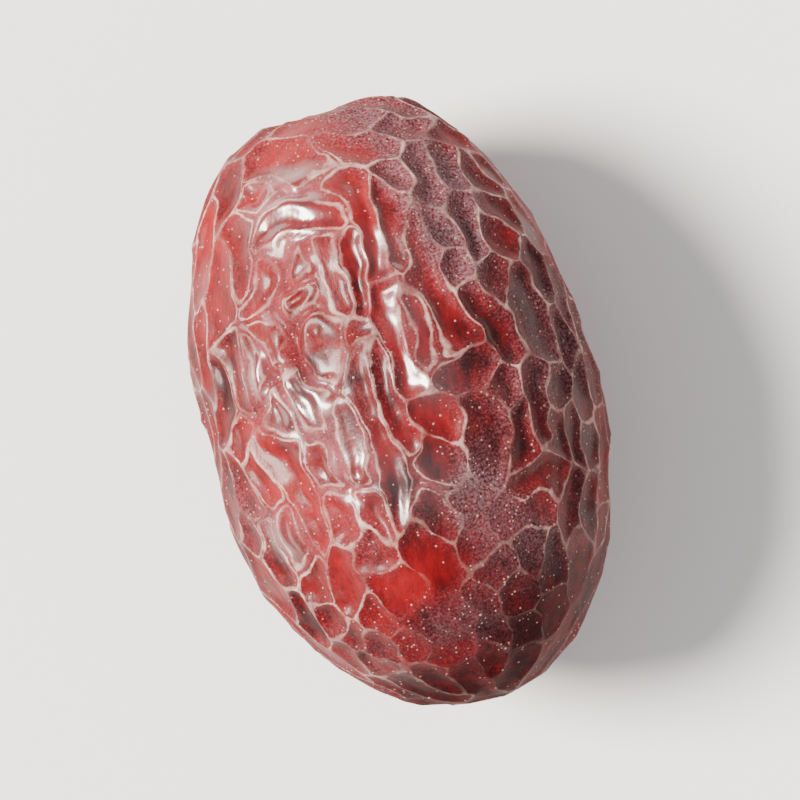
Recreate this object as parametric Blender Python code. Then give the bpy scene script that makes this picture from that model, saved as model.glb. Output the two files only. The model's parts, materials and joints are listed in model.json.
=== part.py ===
"""A dried red jujube, lying on its side on a small flat spot.

The fruit is one solid. Its long axis is Y: the stem end is at +Y and the style end at -Y.
It rests on Z = 0, and the origin is the middle of the flat spot.

A place on the skin is given as (along, around): millimetres from the middle along Y, and degrees
round the axis from the top, positive towards +X.

The skin is a superellipse turned round the axis. As such a fruit dries, its flesh shrinks and the
skin sinks into pockets, and a sharp fold stands wherever two pockets meet.
"""

import math

import bpy
import numpy as np

MM = 0.001

# Size of the fruit, in millimetres
LENGTH = 49.8
WIDTH = 31.0
BLUNTNESS = 2.12  # exponent of the profile: 2 is an ellipse, and more is blunter
FLAT_DEPTH = 0.35  # how far the lowest skin is pressed in where the fruit lies
SWELL_HEIGHT = 0.3  # slow swells and dents of the whole fruit
SWELL_LENGTH = 15.0

# Folds of the skin, in millimetres
POCKET_DEPTH = 0.8
DEPTH_SPREAD, DEPTH_LENGTH = 0.3, 9.0  # share by which the depth varies, and over what length
FOLD_SHARP = 0.4  # half width of a fold's crest
FOLD_SOFT = 1.3  # half width of its foot
FOLD_SHARP_SHARE = 0.5
FOLD_BROAD = 0.9  # half width of a fold that is broad and round
MEANDERS = ((0.4, 6.0), (0.12, 2.2))  # how far folds stray from the middle, and over what length
SAMPLE_STEP = 0.5  # spacing of the points that stand for a pocket's floor

# Scars at the two ends, in millimetres
FUNNEL_RADIUS, FUNNEL_DEPTH = 3.6, 1.7
HOLE_RADIUS, HOLE_DEPTH = 1.8, 1.7
STUB_RADIUS, STUB_HEIGHT = 0.8, 0.9
SAUCER_RADIUS, SAUCER_DEPTH = 2.5, 0.6
RIM_WIDTH, RIM_HEIGHT = 0.4, 0.35
TIP_RADIUS, TIP_HEIGHT = 0.5, 0.35
SCAR_EDGE = 0.3  # how softly the edges of the scars turn
DIMPLE_RADIUS, DIMPLE_DEPTH = 5.0, 0.3  # shallow dip of the skin round the style's saucer
SCAR_WAVER, SCAR_WAVER_LENGTH = 0.06, 6.0  # share by which scars depart from round, and how slowly
END_CALM_RADIUS = 3.6  # the folds fade out this near to the axis

WAVE_NUMBERS = (0.7, 1.4)  # range of the noise's wave numbers, against that of its length
FACE_CELLS = 90  # cells along each edge of the cube that the grid starts from
FACETS = 11600  # triangles left once the flatter ones are merged
FLAT_SNAP = 0.03  # what is left this near to the flat spot's plane is laid on it, in millimetres

SKIN_COLOUR = (0.33, 0.035, 0.03, 1.0)
SKIN_ROUGHNESS = 0.38

# Floors of the pockets on the side that faces up: points of (along, around) down each one
POCKETS_ABOVE = (
    # stem-end shoulder
    ((23.0, -27), (22.5, 27)), ((20.8, -41), (19.8, -5)), ((20.5, -2), (19.2, 22)),
    ((20.6, -54), (18.0, -56)), ((20.8, 40), (20.2, 52)),
    ((18.8, 58), (18.0, 68)), ((17.6, 37), (14.5, 31)), ((15.6, 56), (14.0, 60)),
    # left flank, from the stem end down
    ((17.5, -67), (13.0, -70)), ((13.6, -54), (9.0, -54)), ((7.8, -51), (3.2, -50)),
    ((12.0, -76), (6.5, -76)), ((9.5, -66), (5.0, -68)), ((5.8, -60), (1.6, -60)),
    ((3.6, -72), (-0.6, -74)), ((0.6, -55), (-0.8, -55)), ((-1.3, -68), (-5.6, -72)),
    ((-1.6, -60), (-4.8, -59)), ((-1.5, -53), (-4.3, -52)), ((-6.8, -58), (-10.6, -61)),
    ((-7.0, -50), (-9.6, -50)), ((-8.6, -74), (-12.6, -70)), ((-10.5, -47), (-12.7, -48)),
    ((-13.6, -62), (-15.5, -63)), ((-14.4, -48), (-15.3, -49)),
    # left of the middle, from the stem end down
    ((15.6, -43), (12.6, -43)), ((15.3, -29), (14.7, -9)), ((12.2, -31), (10.1, -38)),
    ((12.0, -20), (11.7, -16)), ((9.3, -27), (10.1, -17)), ((12.8, -10), (8.6, -10)),
    ((12.3, -3), (7.8, -4)), ((8.4, -39), (5.4, -35)), ((7.0, -43), (3.4, -44)),
    ((6.8, -19), (4.2, -16)), ((5.6, -8), (5.0, -11)), ((4.4, -32), (2.4, -27), (-0.2, -26)),
    ((2.8, -39), (0.8, -39)), ((-0.9, -44), (-2.7, -39), (-5.9, -38), (-9.1, -40)),
    ((-0.4, -20), (-4.6, -19)), ((4.2, -9), (0.0, -9.5), (-4.0, -8.5), (-8.2, -8)),
    ((3.6, -4.5), (-3.2, -3)), ((-7.1, -30), (-9.2, -30)), ((-7.2, -18), (-8.6, -19)),
    ((-11.3, -34), (-13.9, -35)), ((-10.1, -24), (-11.4, -22)), ((-15.4, -30), (-16.5, -28)),
    ((-16.7, -45), (-17.0, -45)),
    # the middle and right of it, from the stem end down
    ((17.4, 5), (10.4, 5)), ((15.6, 14), (10.6, 13)), ((11.5, 20), (7.7, 17), (3.4, 21)),
    ((8.4, 4), (5.0, 4), (1.0, 5)), ((6.4, 10), (3.4, 11)), ((11.4, 27), (10.8, 28)),
    ((5.4, 32), (0.9, 34)), ((0.9, 20), (0.3, 27)), ((-1.7, 5), (-3.0, 10)),
    ((-5.0, 4), (-6.6, 8)), ((-2.9, 22), (-6.6, 22)), ((-11.2, -6), (-14.9, -3)),
    # right flank, from the stem end down
    ((12.3, 39), (9.9, 37)), ((10.2, 47), (9.5, 49)), ((12.8, 66), (9.4, 70)),
    ((8.0, 42), (6.8, 41)), ((7.6, 58), (5.4, 57)), ((6.0, 50), (1.6, 49)),
    ((6.4, 70), (2.4, 67)), ((-0.8, 31), (-1.8, 33)), ((-4.3, 33), (-7.3, 33)),
    ((-1.6, 40), (-5.5, 41)), ((-1.8, 52), (-3.0, 51)), ((-1.8, 62), (-4.0, 63)),
    ((-5.4, 48), (-7.5, 46)), ((-5.9, 56), (-8.4, 56)), ((-6.0, 75), (-11.0, 76)),
    ((-9.0, 33), (-9.0, 44)), ((-9.7, 53), (-13.7, 52)), ((-10.7, 64), (-13.6, 65)),
    ((-11.1, 23), (-11.5, 34)), ((-13.4, 30), (-14.6, 31)), ((-15.0, 40), (-16.8, 41)),
    ((-15.3, 56), (-17.4, 57)),
    # short faint ones on the smooth lower part
    ((-8.6, 12), (-9.2, 14)), ((-11.7, 9), (-12.5, 10)), ((-14.5, 17), (-14.9, 19)),
    ((-16.6, 7), (-17.1, 10)), ((-17.0, 22), (-17.4, 26)), ((-18.6, 39), (-19.3, 42)),
    ((-17.4, -2), (-17.9, -1)), ((-16.9, -14), (-17.5, -14)), ((-18.1, -25), (-18.7, -25)),
    ((-18.9, -48), (-19.4, -48)), ((-19.6, 10), (-19.8, 16)), ((-19.9, -8), (-20.1, -14)),
)

# Stages in which pockets fill the rest of the skin: (tries, shortest, longest, clear gap)
GROWN_STAGES = ((1500, 4.0, 8.0, 2.1), (2500, 2.0, 4.5, 1.9), (3500, 0.4, 2.0, 1.8))
GROWN_TILT = 22  # degrees that a grown pocket may lean from the fruit's length
GROWN_SEED = 7

# Where the skin stays smoother: (along, around, radius in mm, share of the relief that is left)
CALM_PLACES = (
    (-19.0, 0, 8.0, 0.35), (-18.0, 60, 7.0, 0.4), (-9.5, 14, 4.5, 0.35), (23.0, 0, 5.0, 0.3),
    (-22.0, 180, 8.0, 0.4), (20.0, 180, 6.0, 0.5), (-16.0, -15, 4.0, 0.5), (12.0, 178, 5.0, 0.6),
    (10.0, -90, 8.0, 0.65), (-8.0, -90, 8.0, 0.65), (12.0, 90, 8.0, 0.7), (-8.0, 92, 8.0, 0.7),
)
FLAT_CALM_RADIUS = 7.0  # the skin under the fruit is pressed smooth this far round the flat spot

# Swells between the pockets, and the fuller flank: (along, around, radius in mm, height in mm)
SWOLLEN_PLACES = (
    (17.1, -25, 2.2, 0.35), (16.9, -13, 2.2, 0.35), (5.8, 8, 1.5, 0.3), (0.8, 9, 1.6, 0.35),
    (-6.8, 0, 1.8, 0.4), (-4.8, -17, 2.0, 0.35), (1.2, -29, 1.7, 0.3), (-7.8, -50, 1.8, 0.3),
    (4.8, -43, 1.4, 0.25), (12.0, -17, 2.0, 0.3), (9.0, 10, 1.2, 0.25), (-12.5, -88, 9.0, 0.6),
)

# Where folds are broad and round instead of sharp: (along, around, radius in mm, share)
ROUNDED_PLACES = (
    (17.0, -19, 4.0, 1.0), (10.5, -26, 3.8, 0.9), (3.5, -30, 4.2, 1.0), (-4.0, -21, 3.0, 1.0),
    (-6.8, 0, 2.0, 0.9), (4.0, 10, 2.6, 0.7), (-8.0, -49, 3.2, 0.7), (4.5, -45, 3.0, 0.5),
)


def superellipse_share(points):
    """How much to scale points about the centre to bring them onto the plain profile:
    (|y| / half length) ^ n + (distance from the axis / half width) ^ n = 1."""
    along = np.abs(points[:, 1]) / (LENGTH / 2)
    across = np.hypot(points[:, 0], points[:, 2]) / (WIDTH / 2)
    return (along**BLUNTNESS + across**BLUNTNESS) ** (-1 / BLUNTNESS)


def onto_skin(points):
    return points * superellipse_share(points)[:, None]


def outward(points):
    """Unit normals of the plain profile: the gradient of its formula."""
    across = np.hypot(points[:, 0], points[:, 2])
    turned = across ** (BLUNTNESS - 2) / (WIDTH / 2) ** BLUNTNESS
    normal = np.empty_like(points)
    normal[:, 0] = points[:, 0] * turned
    normal[:, 2] = points[:, 2] * turned
    steepness = np.abs(points[:, 1]) ** (BLUNTNESS - 1) / (LENGTH / 2) ** BLUNTNESS
    normal[:, 1] = np.sign(points[:, 1]) * steepness
    return normal / np.linalg.norm(normal, axis=1)[:, None]


def places(along, around):
    """Points of the plain profile at these (along, around)."""
    along, around = np.asarray(along, float), np.radians(around)
    radius = WIDTH / 2 * (1 - np.abs(along / (LENGTH / 2)) ** BLUNTNESS) ** (1 / BLUNTNESS)
    return np.stack([radius * np.sin(around), along, radius * np.cos(around)], axis=-1)


def waves(points, length, seed, count=16):
    """Smooth noise of about -1 to 1: a sum of plane waves of random directions and phases."""
    rng = np.random.default_rng(seed)
    direction = rng.normal(size=(count, 3))
    direction /= np.linalg.norm(direction, axis=1)[:, None]
    number = 2 * math.pi / length * rng.uniform(*WAVE_NUMBERS, count)
    phase = rng.uniform(0, 2 * math.pi, count)
    return np.sin(points @ (direction * number[:, None]).T + phase).sum(axis=1) / math.sqrt(count)


def cube_grid():
    """Unit directions and four-sided faces of a cube's square grids, blown up into a ball."""
    steps = np.tan(np.linspace(-math.pi / 4, math.pi / 4, FACE_CELLS + 1))
    a, b = (grid.ravel() for grid in np.meshgrid(steps, steps, indexing="ij"))
    one = np.ones_like(a)
    sides = [(a, b, one), (b, a, -one), (one, a, b), (-one, b, a), (b, one, a), (a, -one, b)]
    points = np.concatenate([np.stack(side, axis=1) for side in sides])
    row = FACE_CELLS + 1
    corner = (np.arange(FACE_CELLS)[:, None] * row + np.arange(FACE_CELLS)).ravel()
    cells = np.stack([corner, corner + row, corner + row + 1, corner + 1], axis=1)
    cells = np.concatenate([cells + k * row * row for k in range(6)])
    _, first, index = np.unique(np.round(points, 6), axis=0, return_index=True, return_inverse=True)
    points = points[first]
    return points / np.linalg.norm(points, axis=1)[:, None], index.reshape(-1)[cells]


def seen_floors():
    """Points down the floor of each pocket above."""
    floors = []
    for marks in POCKETS_ABOVE:
        pieces = []
        for (along_a, around_a), (along_b, around_b) in zip(marks, marks[1:]):
            ends = places([along_a, along_b], [around_a, around_b])
            count = 1 + math.ceil(np.linalg.norm(ends[1] - ends[0]) / SAMPLE_STEP)
            along = np.linspace(along_a, along_b, count)
            pieces.append(places(along, np.linspace(around_a, around_b, count)))
        floors.append(np.concatenate(pieces))
    return floors


def grown_floors(floors):
    """Pockets for the rest of the skin: short lines along the fruit, tried at random places and
    kept where they come no nearer than the gap to any that is there, or to a swell."""
    rng = np.random.default_rng(GROWN_SEED)
    kept = list(floors)
    taken = np.concatenate(kept + [places(swell[0], swell[1])[None] for swell in SWOLLEN_PLACES])
    for tries, shortest, longest, gap in GROWN_STAGES:
        for _ in range(tries):
            start = rng.normal(size=3)
            start *= np.array([WIDTH, LENGTH, WIDTH]) / 2 / np.linalg.norm(start)
            length = rng.uniform(shortest, longest)
            lean = math.radians(rng.uniform(-GROWN_TILT, GROWN_TILT))
            middle = onto_skin(start[None])
            normal = outward(middle)[0]
            side = np.cross(normal, [0.0, 1.0, 0.0])
            side /= np.linalg.norm(side)
            run = np.cross(side, normal) * math.cos(lean) + side * math.sin(lean)
            count = 1 + math.ceil(length / SAMPLE_STEP)
            floor = onto_skin(middle + np.linspace(-length / 2, length / 2, count)[:, None] * run)
            apart = np.linalg.norm(floor[:, None] - taken[None], axis=2).min()
            if apart > gap:
                kept.append(floor)
                taken = np.concatenate([taken, floor])
    return kept


def distances(points, floors):
    """Distance from each point to each pocket's floor, as an array of points by pockets."""
    apart = np.empty((len(points), len(floors)))
    for k, floor in enumerate(floors):
        squared = np.full(len(points), np.inf)
        for spot in floor:
            np.minimum(squared, ((points - spot) ** 2).sum(axis=1), out=squared)
        apart[:, k] = np.sqrt(squared)
    return apart


def crest(apart, width):
    """1 on the line where two pockets are equally near, falling to 0 about a width away.
    Each pocket's share is exp(-distance / width), and the crest is where no share rules."""
    share = np.exp(-(apart - apart.min(axis=1)[:, None]) / width)
    return 2 * (1 - (share**2).sum(axis=1) / share.sum(axis=1) ** 2)


def near_places(points, marks):
    """Sum over the marks of amount * exp(-(distance / radius) ^ 2)."""
    total = np.zeros(len(points))
    for along, around, radius, amount in marks:
        away = ((points - places(along, around)) ** 2).sum(axis=1)
        total += amount * np.exp(-away / radius**2)
    return total


def calm(points):
    """The share of the relief that the smoother places leave."""
    left = np.ones(len(points))
    for along, around, radius, share in CALM_PLACES:
        middle = places(along, around)
        near = np.exp(-(((points - middle) ** 2).sum(axis=1) / radius**2))
        left *= 1 - (1 - share) * near
    left *= 1 - np.exp(-((np.hypot(points[:, 0], points[:, 2]) / END_CALM_RADIUS) ** 4))
    under = np.hypot(points[:, 0], points[:, 1] * WIDTH / LENGTH) / FLAT_CALM_RADIUS
    return np.where(points[:, 2] < 0, left * (1 - np.exp(-(under**4))), left)


def scars(points):
    """Height of the stem's funnel and hole at +Y, and of the style's ringed saucer at -Y."""
    waver = SCAR_WAVER * waves(points, SCAR_WAVER_LENGTH, seed=3)
    off_axis = np.hypot(points[:, 0], points[:, 2]) * (1 + waver)

    def disc(radius):
        return 0.5 - 0.5 * np.tanh((off_axis - radius) / SCAR_EDGE)

    stem = -FUNNEL_DEPTH * np.exp(-((off_axis / FUNNEL_RADIUS) ** 2)) - HOLE_DEPTH * disc(HOLE_RADIUS)
    stem += STUB_HEIGHT * disc(STUB_RADIUS)
    style = -SAUCER_DEPTH * disc(SAUCER_RADIUS) + TIP_HEIGHT * disc(TIP_RADIUS)
    style -= DIMPLE_DEPTH * np.exp(-((off_axis / DIMPLE_RADIUS) ** 2))
    style += RIM_HEIGHT * np.exp(-(((off_axis - SAUCER_RADIUS) / RIM_WIDTH) ** 2))
    return np.where(points[:, 1] > 0, stem, style)


def strayed(points):
    """The points moved a little to and fro, which makes the folds wander."""
    moved = points.copy()
    for k, (far, length) in enumerate(MEANDERS):
        for axis in range(3):
            moved[:, axis] += far * waves(points, length, seed=11 + axis + 10 * k)
    return moved


def relief(points, floors):
    """Height of the skin over the plain profile, in millimetres."""
    apart = distances(strayed(points), floors)
    sharp, soft, broad = (crest(apart, width) for width in (FOLD_SHARP, FOLD_SOFT, FOLD_BROAD))
    broad = broad**2 * (3 - 2 * broad)  # flatter on top and steeper at the sides
    rounded = np.minimum(near_places(points, ROUNDED_PLACES), 1)
    fold = FOLD_SHARP_SHARE * sharp + (1 - FOLD_SHARP_SHARE) * soft
    fold = rounded * broad + (1 - rounded) * fold
    depth = POCKET_DEPTH * (1 + DEPTH_SPREAD * waves(points, DEPTH_LENGTH, seed=5)) * calm(points)
    swell = SWELL_HEIGHT * (waves(points, SWELL_LENGTH, seed=6) - 0.5)
    return depth * (fold - 1) + swell + near_places(points, SWOLLEN_PLACES)


def fruit_surface():
    """Points of the finished fruit in millimetres, resting on z = 0, and its faces."""
    directions, faces = cube_grid()
    skin = onto_skin(directions * np.array([WIDTH, LENGTH, WIDTH]) / 2)
    floors = grown_floors(seen_floors())
    height = relief(skin, floors) + scars(skin)
    points = skin + outward(skin) * height[:, None]
    rest = FLAT_DEPTH - WIDTH / 2
    points[:, 2] = np.maximum(points[:, 2], rest) - rest
    return points, faces


def skin_material():
    material = bpy.data.materials.new("jujube_skin")
    material.use_nodes = True
    shader = material.node_tree.nodes["Principled BSDF"]
    shader.inputs["Base Color"].default_value = SKIN_COLOUR
    shader.inputs["Roughness"].default_value = SKIN_ROUGHNESS
    shader.inputs["Metallic"].default_value = 0.0
    return material


def thinned(mesh):
    """The mesh with its triangles merged edge by edge, so that they are small along the folds and
    large on the flatter floors."""
    holder = bpy.data.objects.new("thinning", mesh)
    bpy.context.scene.collection.objects.link(holder)
    thinning = holder.modifiers.new("thinning", "DECIMATE")
    thinning.ratio = FACETS / (2 * len(mesh.polygons))
    thinning.use_collapse_triangulate = True
    depsgraph = bpy.context.evaluated_depsgraph_get()
    thin = bpy.data.meshes.new_from_object(holder.evaluated_get(depsgraph))
    bpy.data.objects.remove(holder, do_unlink=True)
    bpy.data.meshes.remove(mesh)
    return thin


def laid_flat(mesh):
    """Lays the points that merging left a hair off the flat spot back on its plane."""
    points = np.empty(3 * len(mesh.vertices))
    mesh.vertices.foreach_get("co", points)
    height = points[2::3]
    height[height < FLAT_SNAP * MM] = 0
    mesh.vertices.foreach_set("co", points)
    mesh.update()


def build():
    for old in list(bpy.data.objects):
        bpy.data.objects.remove(old, do_unlink=True)
    points, faces = fruit_surface()
    fine = bpy.data.meshes.new("fine_skin")
    fine.from_pydata((points * MM).tolist(), [], faces.tolist())
    fine.validate()
    mesh = thinned(fine)
    laid_flat(mesh)
    mesh.name = "jujube"
    mesh.shade_smooth()
    mesh.materials.append(skin_material())
    fruit = bpy.data.objects.new("jujube", mesh)
    bpy.context.scene.collection.objects.link(fruit)


if __name__ == "__main__":
    build()
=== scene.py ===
# %% [markdown]
# # A dried red jujube
# A ripe jujube is dried in the sun or in warm air until its flesh is spongy. The skin is then too
# large for it, sinks into long pockets and stands in sharp folds between them. This scene computes
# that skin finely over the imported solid, and gives it its colours: bare waxy red in the pockets,
# thin pale lines on the folds, and a grey-mauve bloom on the smoother shoulders.

import json
import math

import bpy
import numpy as np
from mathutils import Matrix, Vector

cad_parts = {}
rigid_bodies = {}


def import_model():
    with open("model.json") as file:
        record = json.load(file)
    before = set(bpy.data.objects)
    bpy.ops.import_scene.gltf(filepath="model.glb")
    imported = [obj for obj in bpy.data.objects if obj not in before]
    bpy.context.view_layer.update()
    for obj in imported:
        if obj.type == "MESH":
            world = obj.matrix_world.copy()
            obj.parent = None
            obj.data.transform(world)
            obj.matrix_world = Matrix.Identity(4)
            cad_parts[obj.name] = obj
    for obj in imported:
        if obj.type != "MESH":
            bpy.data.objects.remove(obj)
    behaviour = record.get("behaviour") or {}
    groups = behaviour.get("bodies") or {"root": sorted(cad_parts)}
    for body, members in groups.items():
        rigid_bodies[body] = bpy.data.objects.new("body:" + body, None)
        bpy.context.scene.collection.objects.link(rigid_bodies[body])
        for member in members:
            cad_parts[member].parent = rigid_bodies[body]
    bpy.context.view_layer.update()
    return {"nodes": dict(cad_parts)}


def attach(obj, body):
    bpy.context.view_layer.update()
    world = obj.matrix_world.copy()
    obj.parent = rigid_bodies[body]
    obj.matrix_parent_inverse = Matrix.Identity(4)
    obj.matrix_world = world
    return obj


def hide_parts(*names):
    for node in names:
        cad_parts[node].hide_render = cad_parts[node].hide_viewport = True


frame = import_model()
print("packed nodes:", sorted(frame["nodes"]))

# %% [markdown]
# ## The size of the fruit
# The fruit lies on its side along Y, its stem end at +Y, on a small flat spot at z = 0. A place on
# the skin is given as (along, around): millimetres from the middle along Y, and degrees round the
# axis from the top, positive towards +X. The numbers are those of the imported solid.

# %% Sizes in millimetres
MM = 0.001  # metres in a millimetre
LENGTH, WIDTH = 49.8, 31.0
BLUNTNESS = 2.12  # exponent of the profile: 2 is an ellipse, and more is blunter
FLAT_DEPTH = 0.35
SWELL_HEIGHT, SWELL_LENGTH = 0.3, 15.0

POCKET_DEPTH, DEPTH_SPREAD, DEPTH_LENGTH = 0.8, 0.3, 9.0
FOLD_SHARP, FOLD_SOFT, FOLD_SHARP_SHARE = 0.4, 1.3, 0.5
FOLD_BROAD = 0.9  # half width of a fold that is broad and round
MEANDERS = ((0.4, 6.0), (0.12, 2.2))
SAMPLE_STEP = 0.5

FUNNEL_RADIUS, FUNNEL_DEPTH = 3.6, 1.7
HOLE_RADIUS, HOLE_DEPTH = 1.8, 1.7
STUB_RADIUS, STUB_HEIGHT = 0.8, 0.9
SAUCER_RADIUS, SAUCER_DEPTH = 2.5, 0.6
RIM_WIDTH, RIM_HEIGHT = 0.4, 0.35
TIP_RADIUS, TIP_HEIGHT = 0.5, 0.35
SCAR_EDGE, SCAR_WAVER, SCAR_WAVER_LENGTH = 0.3, 0.06, 6.0
DIMPLE_RADIUS, DIMPLE_DEPTH = 5.0, 0.3
END_CALM_RADIUS = 3.6
WAVE_NUMBERS = (0.7, 1.4)  # range of the noise's wave numbers, against that of its length
SCAR_SEED, DEPTH_SEED, SWELL_SEED, MEANDER_SEED = 3, 5, 6, 11
print("plain body:", WIDTH, "by", LENGTH, "mm, pockets about", POCKET_DEPTH, "mm deep")

# %% [markdown]
# ## Where the pockets are
# Each pocket has a short floor line, and these were read off the photograph one by one.
# Folds don't need drawing: they stand wherever two pockets are equally near. That is how a
# shrinking skin buckles, and it gives the forks and closed loops of the real net by itself.

# %% Floors of the pockets on the side that faces up
POCKETS_ABOVE = (
    # stem-end shoulder
    ((23.0, -27), (22.5, 27)), ((20.8, -41), (19.8, -5)), ((20.5, -2), (19.2, 22)),
    ((20.6, -54), (18.0, -56)), ((20.8, 40), (20.2, 52)),
    ((18.8, 58), (18.0, 68)), ((17.6, 37), (14.5, 31)), ((15.6, 56), (14.0, 60)),
    # left flank, from the stem end down
    ((17.5, -67), (13.0, -70)), ((13.6, -54), (9.0, -54)), ((7.8, -51), (3.2, -50)),
    ((12.0, -76), (6.5, -76)), ((9.5, -66), (5.0, -68)), ((5.8, -60), (1.6, -60)),
    ((3.6, -72), (-0.6, -74)), ((0.6, -55), (-0.8, -55)), ((-1.3, -68), (-5.6, -72)),
    ((-1.6, -60), (-4.8, -59)), ((-1.5, -53), (-4.3, -52)), ((-6.8, -58), (-10.6, -61)),
    ((-7.0, -50), (-9.6, -50)), ((-8.6, -74), (-12.6, -70)), ((-10.5, -47), (-12.7, -48)),
    ((-13.6, -62), (-15.5, -63)), ((-14.4, -48), (-15.3, -49)),
    # left of the middle, from the stem end down
    ((15.6, -43), (12.6, -43)), ((15.3, -29), (14.7, -9)), ((12.2, -31), (10.1, -38)),
    ((12.0, -20), (11.7, -16)), ((9.3, -27), (10.1, -17)), ((12.8, -10), (8.6, -10)),
    ((12.3, -3), (7.8, -4)), ((8.4, -39), (5.4, -35)), ((7.0, -43), (3.4, -44)),
    ((6.8, -19), (4.2, -16)), ((5.6, -8), (5.0, -11)), ((4.4, -32), (2.4, -27), (-0.2, -26)),
    ((2.8, -39), (0.8, -39)), ((-0.9, -44), (-2.7, -39), (-5.9, -38), (-9.1, -40)),
    ((-0.4, -20), (-4.6, -19)), ((4.2, -9), (0.0, -9.5), (-4.0, -8.5), (-8.2, -8)),
    ((3.6, -4.5), (-3.2, -3)), ((-7.1, -30), (-9.2, -30)), ((-7.2, -18), (-8.6, -19)),
    ((-11.3, -34), (-13.9, -35)), ((-10.1, -24), (-11.4, -22)), ((-15.4, -30), (-16.5, -28)),
    ((-16.7, -45), (-17.0, -45)),
    # the middle and right of it, from the stem end down
    ((17.4, 5), (10.4, 5)), ((15.6, 14), (10.6, 13)), ((11.5, 20), (7.7, 17), (3.4, 21)),
    ((8.4, 4), (5.0, 4), (1.0, 5)), ((6.4, 10), (3.4, 11)), ((11.4, 27), (10.8, 28)),
    ((5.4, 32), (0.9, 34)), ((0.9, 20), (0.3, 27)), ((-1.7, 5), (-3.0, 10)),
    ((-5.0, 4), (-6.6, 8)), ((-2.9, 22), (-6.6, 22)), ((-11.2, -6), (-14.9, -3)),
    # right flank, from the stem end down
    ((12.3, 39), (9.9, 37)), ((10.2, 47), (9.5, 49)), ((12.8, 66), (9.4, 70)),
    ((8.0, 42), (6.8, 41)), ((7.6, 58), (5.4, 57)), ((6.0, 50), (1.6, 49)),
    ((6.4, 70), (2.4, 67)), ((-0.8, 31), (-1.8, 33)), ((-4.3, 33), (-7.3, 33)),
    ((-1.6, 40), (-5.5, 41)), ((-1.8, 52), (-3.0, 51)), ((-1.8, 62), (-4.0, 63)),
    ((-5.4, 48), (-7.5, 46)), ((-5.9, 56), (-8.4, 56)), ((-6.0, 75), (-11.0, 76)),
    ((-9.0, 33), (-9.0, 44)), ((-9.7, 53), (-13.7, 52)), ((-10.7, 64), (-13.6, 65)),
    ((-11.1, 23), (-11.5, 34)), ((-13.4, 30), (-14.6, 31)), ((-15.0, 40), (-16.8, 41)),
    ((-15.3, 56), (-17.4, 57)),
    # short faint ones on the smooth lower part
    ((-8.6, 12), (-9.2, 14)), ((-11.7, 9), (-12.5, 10)), ((-14.5, 17), (-14.9, 19)),
    ((-16.6, 7), (-17.1, 10)), ((-17.0, 22), (-17.4, 26)), ((-18.6, 39), (-19.3, 42)),
    ((-17.4, -2), (-17.9, -1)), ((-16.9, -14), (-17.5, -14)), ((-18.1, -25), (-18.7, -25)),
    ((-18.9, -48), (-19.4, -48)), ((-19.6, 10), (-19.8, 16)), ((-19.9, -8), (-20.1, -14)),
)
print(len(POCKETS_ABOVE), "pockets read from the photograph")

# %% [markdown]
# The rest of the skin is out of sight, so its pockets are grown in the same style from a seeded
# draw, long ones first and short ones in what room is left. Some places stay smoother than others.
# On the side that faces up, full swells and broad round folds stand between the pockets, and these
# carry the highlights.

# %% How the other pockets grow, and the smoother places
# Stages in which pockets fill the rest of the skin: (tries, shortest, longest, clear gap)
GROWN_STAGES = ((1500, 4.0, 8.0, 2.1), (2500, 2.0, 4.5, 1.9), (3500, 0.4, 2.0, 1.8))
GROWN_TILT = 22  # degrees that a grown pocket may lean from the fruit's length
GROWN_SEED = 7

# Where the skin stays smoother: (along, around, radius in mm, share of the relief that is left)
CALM_PLACES = (
    (-19.0, 0, 8.0, 0.35), (-18.0, 60, 7.0, 0.4), (-9.5, 14, 4.5, 0.35), (23.0, 0, 5.0, 0.3),
    (-22.0, 180, 8.0, 0.4), (20.0, 180, 6.0, 0.5), (-16.0, -15, 4.0, 0.5), (12.0, 178, 5.0, 0.6),
    (10.0, -90, 8.0, 0.65), (-8.0, -90, 8.0, 0.65), (12.0, 90, 8.0, 0.7), (-8.0, 92, 8.0, 0.7),
)
FLAT_CALM_RADIUS = 7.0  # the skin under the fruit is pressed smooth this far round the flat spot

# Swells between the pockets, and the fuller flank: (along, around, radius in mm, height in mm)
SWOLLEN_PLACES = (
    (17.1, -25, 2.2, 0.35), (16.9, -13, 2.2, 0.35), (5.8, 8, 1.5, 0.3), (0.8, 9, 1.6, 0.35),
    (-6.8, 0, 1.8, 0.4), (-4.8, -17, 2.0, 0.35), (1.2, -29, 1.7, 0.3), (-7.8, -50, 1.8, 0.3),
    (4.8, -43, 1.4, 0.25), (12.0, -17, 2.0, 0.3), (9.0, 10, 1.2, 0.25), (-12.5, -88, 9.0, 0.6),
)

# Where folds are broad and round instead of sharp: (along, around, radius in mm, share)
ROUNDED_PLACES = (
    (17.0, -19, 4.0, 1.0), (10.5, -26, 3.8, 0.9), (3.5, -30, 4.2, 1.0), (-4.0, -21, 3.0, 1.0),
    (-6.8, 0, 2.0, 0.9), (4.0, 10, 2.6, 0.7), (-8.0, -49, 3.2, 0.7), (4.5, -45, 3.0, 0.5),
)
print(len(CALM_PLACES), "smoother places,", len(SWOLLEN_PLACES), "swells,",
      len(ROUNDED_PLACES), "places with broad folds")

# %% [markdown]
# ## The plain body
# The body without its folds is a superellipse turned round the long axis. An ellipse would be too
# pointed at its ends for this fruit. As a formula it also gives the outward direction everywhere,
# and the relief is later raised along that direction.

# %% Points and normals of the plain body
def superellipse_share(points):
    """How much to scale points about the centre to bring them onto the plain profile:
    (|y| / half length) ^ n + (distance from the axis / half width) ^ n = 1."""
    along = np.abs(points[:, 1]) / (LENGTH / 2)
    across = np.hypot(points[:, 0], points[:, 2]) / (WIDTH / 2)
    return (along**BLUNTNESS + across**BLUNTNESS) ** (-1 / BLUNTNESS)


def onto_skin(points):
    """Points moved straight to or from the centre, onto the plain profile."""
    return points * superellipse_share(points)[:, None]


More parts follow.
